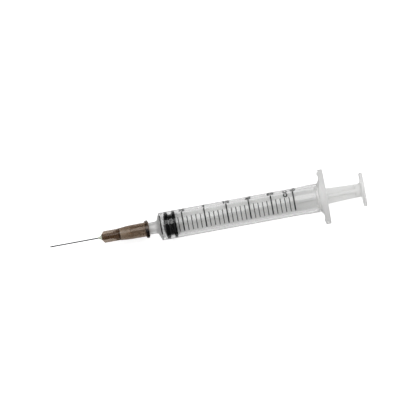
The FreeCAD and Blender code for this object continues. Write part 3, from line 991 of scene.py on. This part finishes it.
def scale_strokes(scale, barrel):
    """All the strokes of the scale: lines, numerals and the unit's two letters, turned to read upwards."""
    tube = barrel.bore + barrel.wall
    strokes = []
    for index in range(scale.steps + 1):
        major = index % 5 == 0
        top = scale.major_top if major else scale.minor_top
        width = scale.major_width if major else scale.minor_width
        arc = tube * np.linspace(scale.foot, top, 30)
        strokes.append((index * scale.step + 1j * arc, width))
    for index, text in enumerate(("h", "1", "1h", "2", "2h", "3"), 1):
        strokes += numeral(text, 5 * index * scale.step, scale, barrel)
    tall = (scale.unit_letter - scale.unit_stroke) / 2
    wide = (scale.unit_width - scale.unit_stroke) / 2
    for index in range(2):
        centre = scale.unit_place + 1j * (scale.unit_foot * tube + scale.unit_width * (0.5 + 1.03 * index))
        strokes.append((arc_path(centre, tall, wide, 100, 440, 30), scale.unit_stroke))
    return strokes


class SYRINGE_OT_barrel(bpy.types.Operator):
    """Moulded barrel with its nozzle and finger flange"""
    bl_idname = "syringe.barrel"
    bl_label = "Barrel"

    def execute(self, context):
        barrel = values("barrel")
        clear = clear_polypropylene(barrel)
        add_piece("clear_barrel", [barrel_skin(barrel)], "barrel", clear, "barrel")
        return {"FINISHED"}


class SYRINGE_OT_scale(bpy.types.Operator):
    """Printed scale on the barrel"""
    bl_idname = "syringe.scale"
    bl_label = "Printed scale"

    def execute(self, context):
        barrel = values("barrel")
        scale = values("scale")
        skins = [ink_stroke(path, width, barrel, scale) for path, width in scale_strokes(scale, barrel)]
        add_piece("printed_scale", skins, "barrel", printing_ink(scale.ink))
        return {"FINISHED"}


class SYRINGE_OT_plunger(bpy.types.Operator):
    """Rubber gasket and plunger rod"""
    bl_idname = "syringe.plunger"
    bl_label = "Plunger"

    def execute(self, context):
        gasket = values("gasket")
        rod = values("rod")
        piston = turned(gasket_outline(gasket, rod, values("barrel").bore))
        rubber = butyl_rubber(gasket.rubber)
        add_piece("rubber_gasket", [piston], "gasket", rubber, "gasket")
        milky = milky_polypropylene(rod.plastic)
        add_piece("moulded_rod", [rod_skin(rod)], "rod", milky, "plunger_rod")
        return {"FINISHED"}


class SYRINGE_OT_needle(bpy.types.Operator):
    """Needle hub, adhesive and steel tube"""
    bl_idname = "syringe.needle"
    bl_label = "Needle"

    def execute(self, context):
        barrel = values("barrel")
        hub = values("hub")
        needle = values("needle")
        moulding = hub_skin(hub, needle, barrel)
        brown = brown_polypropylene(hub)
        add_piece("brown_hub", [moulding], "needle", brown, "needle_hub")
        bead = turned(glue_outline(needle, hub), 96, ring=True)
        epoxy = cured_adhesive(needle.adhesive)
        add_piece("adhesive_bead", [bead], "needle", epoxy, "glue_bead")
        tube = needle_skin(needle)
        steel = drawn_steel(needle.steel)
        add_piece("steel_tube", [tube], "needle", steel, "needle_tube", sharp=20.0)
        return {"FINISHED"}


class SYRINGE_OT_stage(bpy.types.Operator):
    """Paper floor, softbox, fill light and camera"""
    bl_idname = "syringe.stage"
    bl_label = "Studio"

    def execute(self, context):
        stage = values("stage")
        scene = context.scene
        scene.view_settings.view_transform = "Standard"
        add_floor(stage)
        add_light(stage, scene)
        add_camera(stage, scene)
        return {"FINISHED"}


def add_floor(stage):
    """Wide sheet of paper just under the syringe.

    It glows towards the camera, so that it reads white, and a little through the plastic.
    """
    half = stage.floor_reach * MM
    level = CAD_BOX[0][2] - stage.floor_gap * MM
    corners = [(-half, -half, level), (half, -half, level), (half, half, level), (-half, half, level)]
    mesh = bpy.data.meshes.new("paper_floor")
    mesh.from_pydata(corners, [], [(0, 1, 2, 3)])
    material, tree = new_material("Studio paper")
    rays = add_node(tree, "LightPath")
    through = maths(tree, "MULTIPLY", rays["Is Transmission Ray"], stage.glow_through)
    glow = maths(tree, "MULTIPLY_ADD", rays["Is Camera Ray"], stage.floor_glow, through)
    paper = add_node(tree, "BsdfDiffuse", {"Color": stage.floor})[0]
    light = add_node(tree, "Emission", {"Color": WHITE, "Strength": glow})[0]
    both = add_node(tree, "AddShader", {0: paper, 1: light})[0]
    add_node(tree, "OutputMaterial", {"Surface": both})
    mesh.materials.append(material)
    floor = add_object("paper_floor", mesh)


def add_light(stage, scene):
    """Even fill from all round, and one long softbox above the syringe, towards +Y.

    The room is dark to gloss, as a studio's ceiling is, so that rubber stays black and steel stays grey.
    """
    world = bpy.data.worlds.new("Studio")
    world.use_nodes = True
    tree = world.node_tree
    tree.nodes.clear()
    rays = add_node(tree, "LightPath")
    strength = ramp(tree, rays["Is Glossy Ray"], 0.0, 1.0, stage.fill, stage.mirrored)
    fill = add_node(tree, "Background", {"Color": WHITE, "Strength": strength})[0]
    add_node(tree, "OutputWorld", {"Surface": fill})
    scene.world = world
    lamp = bpy.data.lights.new("softbox", "AREA")
    lamp.shape = "RECTANGLE"
    lamp.size = stage.box_width * MM
    lamp.size_y = stage.box_depth * MM
    lamp.energy = stage.box_power
    softbox = add_object("softbox", lamp)
    softbox.location = stage.box
    softbox.rotation_euler = (-math.atan2(*stage.box[1:]), 0, 0)
    softbox.visible_camera = False


def add_camera(stage, scene):
    """Camera straight above the barrel. Its lens makes the picture span the frame's width at the axis."""
    lens = bpy.data.cameras.new("camera")
    lens.sensor_width = 36
    lens.lens = lens.sensor_width * stage.camera[2] / (stage.frame_width * MM)
    lens.clip_start = 0.01
    camera = add_object("camera", lens)
    camera.location = stage.camera
    camera.rotation_euler = (0, 0, -stage.camera_roll)
    scene.camera = camera


class SYRINGE_PT_panel(bpy.types.Panel):
    """Sidebar list of the syringe's pieces"""
    bl_idname = "SYRINGE_PT_panel"
    bl_label = "Slip Tip Syringe"
    bl_space_type = "VIEW_3D"
    bl_region_type = "UI"
    bl_category = "Syringe"

    def draw(self, context):
        for operator in OPERATORS:
            self.layout.operator(operator.bl_idname)


OPERATORS = (
    SYRINGE_OT_barrel,
    SYRINGE_OT_scale,
    SYRINGE_OT_plunger,
    SYRINGE_OT_needle,
    SYRINGE_OT_stage,
)
SETTINGS = {
    "barrel": BarrelSettings,
    "scale": PrintSettings,
    "gasket": GasketSettings,
    "rod": RodSettings,
    "hub": HubSettings,
    "needle": NeedleSettings,
    "stage": StageSettings,
}


def register():
    """Registers the settings, operators and panel."""
    for key, group in SETTINGS.items():
        bpy.utils.register_class(group)
        setattr(bpy.types.Scene, PREFIX + key, bpy.props.PointerProperty(type=group))
    for part in (*OPERATORS, SYRINGE_PT_panel):
        bpy.utils.register_class(part)


def unregister():
    """Removes what register added."""
    for part in (SYRINGE_PT_panel, *reversed(OPERATORS)):
        bpy.utils.unregister_class(part)
    for key, group in reversed(SETTINGS.items()):
        delattr(bpy.types.Scene, PREFIX + key)
        bpy.utils.unregister_class(group)


def main():
    """Builds the pieces and the studio."""
    register()
    bpy.ops.syringe.barrel()
    bpy.ops.syringe.scale()
    bpy.ops.syringe.plunger()
    bpy.ops.syringe.needle()
    bpy.ops.syringe.stage()


if __name__ == "__main__":
    main()
